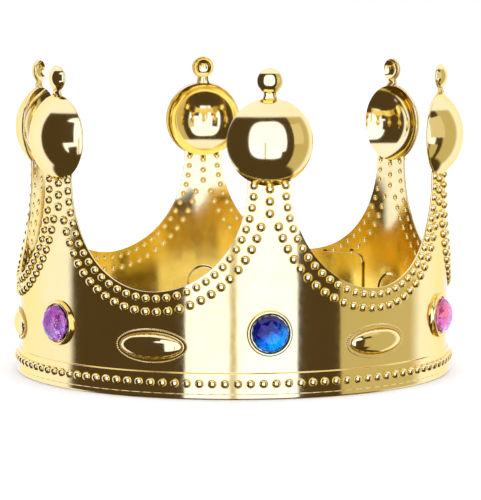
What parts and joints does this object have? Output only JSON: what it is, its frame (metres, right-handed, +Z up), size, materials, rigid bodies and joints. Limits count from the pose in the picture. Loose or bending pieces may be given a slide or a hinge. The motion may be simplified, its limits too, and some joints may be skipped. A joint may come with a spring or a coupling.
{
  "type": "dress-up crown",
  "caption": "Gold ring crown with a beaded scalloped edge, domed points with small balls, round gems, oval bosses and a snap lap closure at the back.",
  "frame": {"origin": "centre of the ring on its bottom plane", "axes": "+Z up, front point towards -Y, lap closure at the back right (+X, +Y)"},
  "size_m": [0.193, 0.2064, 0.1334],
  "materials": {
    "gold_plastic": "vacuum-metallised gold, mirror bright on both faces",
    "foil": "silver foil behind the gem",
    "acrylic_blue": "clear tinted acrylic, faceted and polished",
    "acrylic_pink": "clear tinted acrylic, faceted and polished",
    "acrylic_green": "clear tinted acrylic, faceted and polished",
    "acrylic_red": "clear tinted acrylic, faceted and polished",
    "acrylic_orange": "clear tinted acrylic, faceted and polished",
    "acrylic_purple": "clear tinted acrylic, faceted and polished"
  },
  "bodies": {
    "band": {"crown_band": "gold_plastic", "gem_front": "acrylic_blue", "gem_front_right": "acrylic_pink", "gem_back_right": "acrylic_green", "gem_back": "acrylic_red", "gem_back_left": "acrylic_orange", "gem_front_left": "acrylic_purple", "foil_front": "foil", "foil_front_right": "foil", "foil_back_right": "foil", "foil_back": "foil", "foil_back_left": "foil", "foil_front_left": "foil"},
    "lower_stud": {"closure_stud_lower": "gold_plastic"},
    "upper_stud": {"closure_stud_upper": "gold_plastic"}
  },
  "joints": [
    {"name": "lower_stud_pull", "type": "slide", "parent": "band", "child": "lower_stud", "axis": [0.5598, 0.8286, 0], "range_m": [0, 0.006]},
    {"name": "upper_stud_pull", "type": "slide", "parent": "band", "child": "upper_stud", "axis": [0.5598, 0.8286, 0], "range_m": [0, 0.006]}
  ]
}
